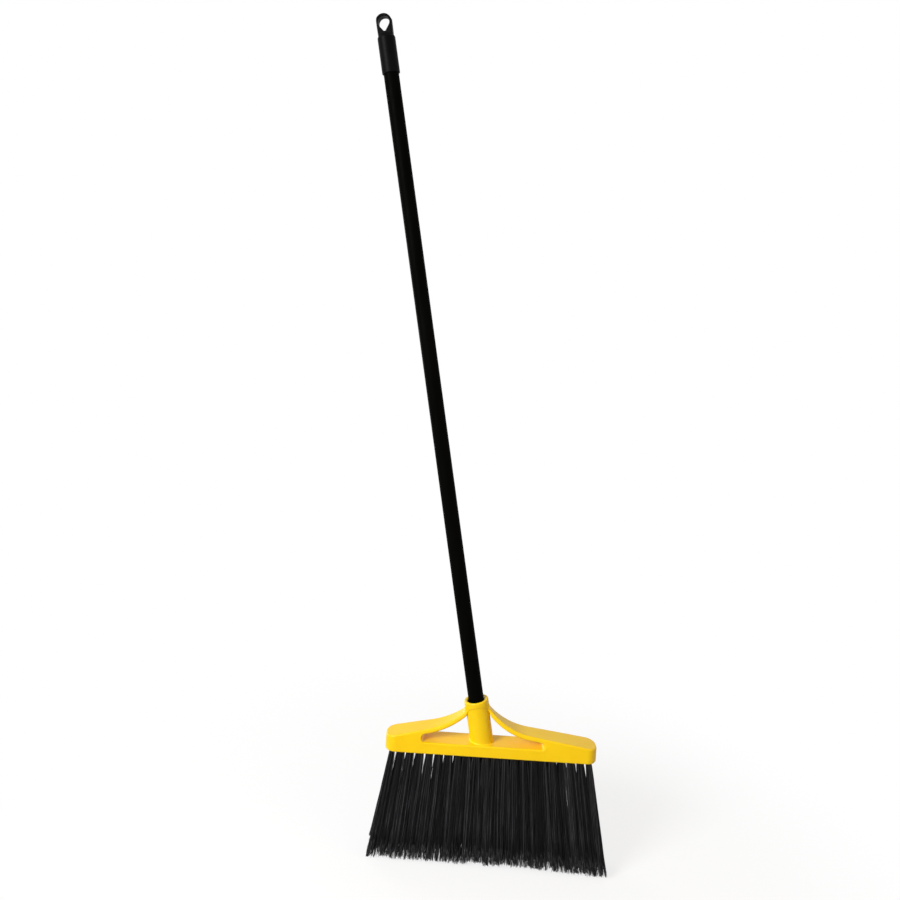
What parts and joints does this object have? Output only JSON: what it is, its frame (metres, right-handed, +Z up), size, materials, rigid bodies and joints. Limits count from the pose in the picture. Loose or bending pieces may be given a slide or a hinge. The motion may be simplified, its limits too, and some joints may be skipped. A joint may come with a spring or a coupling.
{
  "type": "angle broom",
  "caption": "Angle broom: moulded block with open windows and slanting bristle tufts, a leaning socket, a tube handle that screws in and a cap with a hanging loop.",
  "frame": {"origin": "middle of the sweeping face, where the trimmed bristle tips meet the floor", "axes": "+Z up from the floor, +X along the block towards the longer bristles, -Y the front of the picture; the handle leans towards -X"},
  "size_m": [0.4395, 0.0524, 1.1963],
  "materials": {
    "yellow_plastic": "moulded satin gloss",
    "black_filament": "drawn filament, flagged tips",
    "anchor_wire": "flat galvanised wire",
    "coated_tube": "smooth black coating",
    "black_plastic": "moulded satin"
  },
  "bodies": {
    "head": {"broom_block": "yellow_plastic", "tuft_row_front": "black_filament", "tuft_row_front_inner": "black_filament", "tuft_row_back_inner": "black_filament", "tuft_row_back": "black_filament", "anchors_front": "anchor_wire", "anchors_front_inner": "anchor_wire", "anchors_back_inner": "anchor_wire", "anchors_back": "anchor_wire"},
    "hanger": {"hang_cap": "black_plastic"},
    "handle": {"handle_tube": "coated_tube", "threaded_tip": "black_plastic"}
  },
  "joints": [
    {"name": "handle_rise", "type": "slide", "parent": "head", "child": "hanger", "axis": [-0.225, 0, 0.9744], "range_m": [0, 0.0254]},
    {"name": "handle_turn", "type": "hinge", "parent": "hanger", "child": "handle", "pos_m": [-0.23886, 0, 1.14401], "axis": [-0.225, 0, 0.9744], "range_deg": [0, 1801]}
  ],
  "couplings": [
    {"joint": "handle_turn", "follows": "handle_rise", "rad_per_m": 1236.8}
  ]
}
